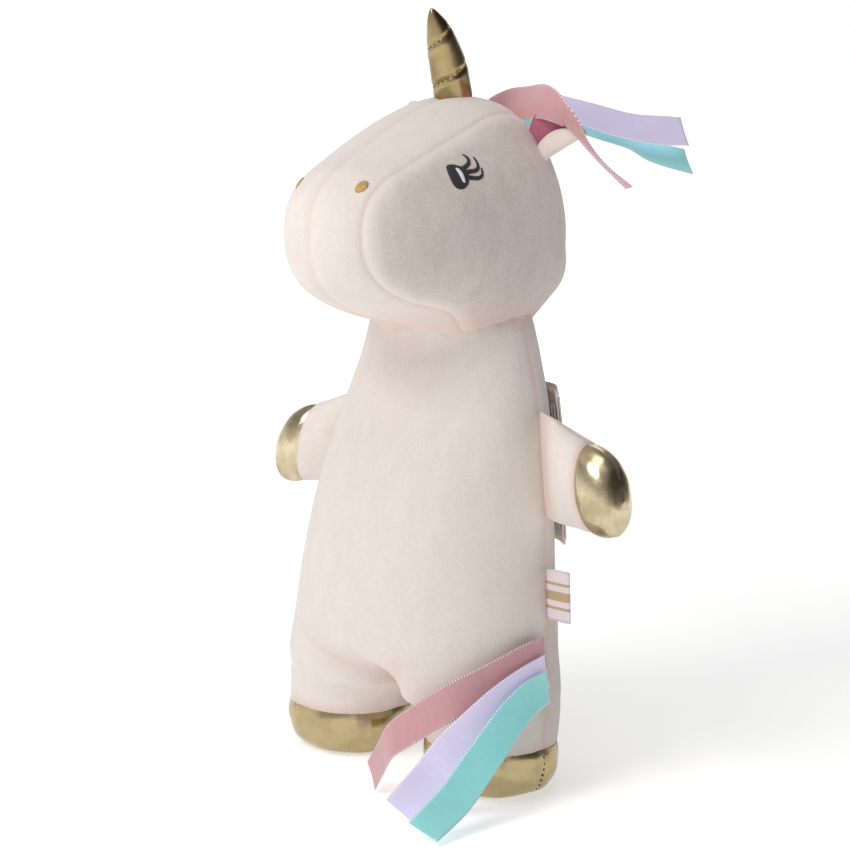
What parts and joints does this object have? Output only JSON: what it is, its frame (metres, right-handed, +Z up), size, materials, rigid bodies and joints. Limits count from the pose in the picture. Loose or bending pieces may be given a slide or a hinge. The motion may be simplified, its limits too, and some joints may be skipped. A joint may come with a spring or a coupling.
{
  "type": "plush unicorn",
  "caption": "Standing stuffed unicorn with satin ribbon mane and tail, gold cloth horn and hooves, and a strap behind that closes round a car's seat belt.",
  "frame": {"origin": "on the floor, at the centre of the bounding box's bottom face", "axes": "+Z up, -Y the way the unicorn faces, +X its own left side"},
  "size_m": [0.2879, 0.3128, 0.4488],
  "materials": {
    "velour": "short pile velour, pale blush",
    "stuffing": "loose polyester fibre",
    "gold": "metallic gold coated cloth",
    "rose_velour": "short pile velour, rose",
    "rose_satin": "woven satin ribbon",
    "lilac_satin": "woven satin ribbon",
    "turquoise_satin": "woven satin ribbon",
    "black_thread": "satin stitch embroidery",
    "white_thread": "satin stitch embroidery",
    "gold_thread": "satin stitch embroidery",
    "hook_tape": "hook and loop tape",
    "label_satin": "woven label tape"
  },
  "bodies": {
    "torso": {"foot_left_hoof_back": "gold", "foot_left_hoof_front": "gold", "foot_right_hoof_back": "gold", "foot_right_hoof_front": "gold", "loop_patch": "hook_tape", "torso_back_panel": "velour", "torso_front_panel": "velour", "torso_stuffing": "stuffing"},
    "head": {"eye_left_glint": "white_thread", "eye_left_iris": "black_thread", "eye_left_lash_lower": "black_thread", "eye_left_lash_middle": "black_thread", "eye_left_lash_upper": "black_thread", "eye_right_glint": "white_thread", "eye_right_iris": "black_thread", "eye_right_lash_lower": "black_thread", "eye_right_lash_middle": "black_thread", "eye_right_lash_upper": "black_thread", "head_centre_panel": "velour", "head_left_panel": "velour", "head_right_panel": "velour", "head_stuffing": "stuffing", "nostril_left": "gold_thread", "nostril_right": "gold_thread"},
    "horn": {"horn_cover": "gold", "horn_stuffing": "stuffing"},
    "ear_left": {"ear_left_lining": "rose_velour", "ear_left_outer": "velour"},
    "ear_right": {"ear_right_lining": "rose_velour", "ear_right_outer": "velour"},
    "mane": {"mane_ribbon_lilac": "lilac_satin", "mane_ribbon_rose": "rose_satin", "mane_ribbon_turquoise": "turquoise_satin"},
    "arm_left": {"arm_left_hoof_back": "gold", "arm_left_hoof_front": "gold", "arm_left_sleeve_back": "velour", "arm_left_sleeve_front": "velour", "arm_left_stuffing": "stuffing"},
    "arm_right": {"arm_right_hoof_back": "gold", "arm_right_hoof_front": "gold", "arm_right_sleeve_back": "velour", "arm_right_sleeve_front": "velour", "arm_right_stuffing": "stuffing"},
    "tail": {"tail_ribbon_lilac": "lilac_satin", "tail_ribbon_rose": "rose_satin", "tail_ribbon_turquoise": "turquoise_satin"},
    "label": {"side_label": "label_satin"},
    "belt_flap": {"belt_flap_cover": "velour", "belt_flap_lining": "velour", "hook_patch": "hook_tape"}
  },
  "joints": [
    {"name": "head_nod", "type": "hinge", "parent": "torso", "child": "head", "pos_m": [0, -0.0242, 0.227], "axis": [1, 0, 0], "range_deg": [-12, 15], "stiffness_Nm_per_rad": 1.2, "springref_deg": -1.15},
    {"name": "horn_bend", "type": "hinge", "parent": "head", "child": "horn", "pos_m": [0, -0.0252, 0.39803], "axis": [1, 0, 0], "range_deg": [-12, 12], "stiffness_Nm_per_rad": 0.05},
    {"name": "ear_left_flop", "type": "hinge", "parent": "head", "child": "ear_left", "pos_m": [0.047, -0.00192, 0.37561], "axis": [-0.4689, -0.2095, 0.858], "range_deg": [-9, 25], "stiffness_Nm_per_rad": 0.02},
    {"name": "ear_right_flop", "type": "hinge", "parent": "head", "child": "ear_right", "pos_m": [-0.047, -0.00192, 0.37561], "axis": [-0.4689, 0.2095, -0.858], "range_deg": [-9, 25], "stiffness_Nm_per_rad": 0.02},
    {"name": "mane_swing", "type": "hinge", "parent": "head", "child": "mane", "pos_m": [0, 0.0028, 0.3985], "axis": [1, 0, 0], "range_deg": [-4, 25], "stiffness_Nm_per_rad": 0.02},
    {"name": "arm_left_swing", "type": "hinge", "parent": "torso", "child": "arm_left", "pos_m": [0.07915, -0.02747, 0.188], "axis": [-0.1589, 0.0705, 0.9848], "range_deg": [-35, 35], "stiffness_Nm_per_rad": 0.05},
    {"name": "arm_right_swing", "type": "hinge", "parent": "torso", "child": "arm_right", "pos_m": [-0.07915, -0.02747, 0.188], "axis": [-0.1589, -0.0705, -0.9848], "range_deg": [-35, 35], "stiffness_Nm_per_rad": 0.05},
    {"name": "tail_swing", "type": "hinge", "parent": "torso", "child": "tail", "pos_m": [0.0986, -0.0487, 0.075], "axis": [0, 0, 1], "range_deg": [0, 35], "stiffness_Nm_per_rad": 0.01},
    {"name": "label_flip", "type": "hinge", "parent": "torso", "child": "label", "pos_m": [0.08847, -0.0361, 0.116], "axis": [-0.1719, 0.1491, 0.9738], "range_deg": [-60, 60], "stiffness_Nm_per_rad": 0.002},
    {"name": "belt_flap_open", "type": "hinge", "parent": "torso", "child": "belt_flap", "pos_m": [-0.06083, -0.00578, 0.185], "axis": [0.1294, 0.0812, 0.9883], "range_deg": [0, 88]}
  ]
}
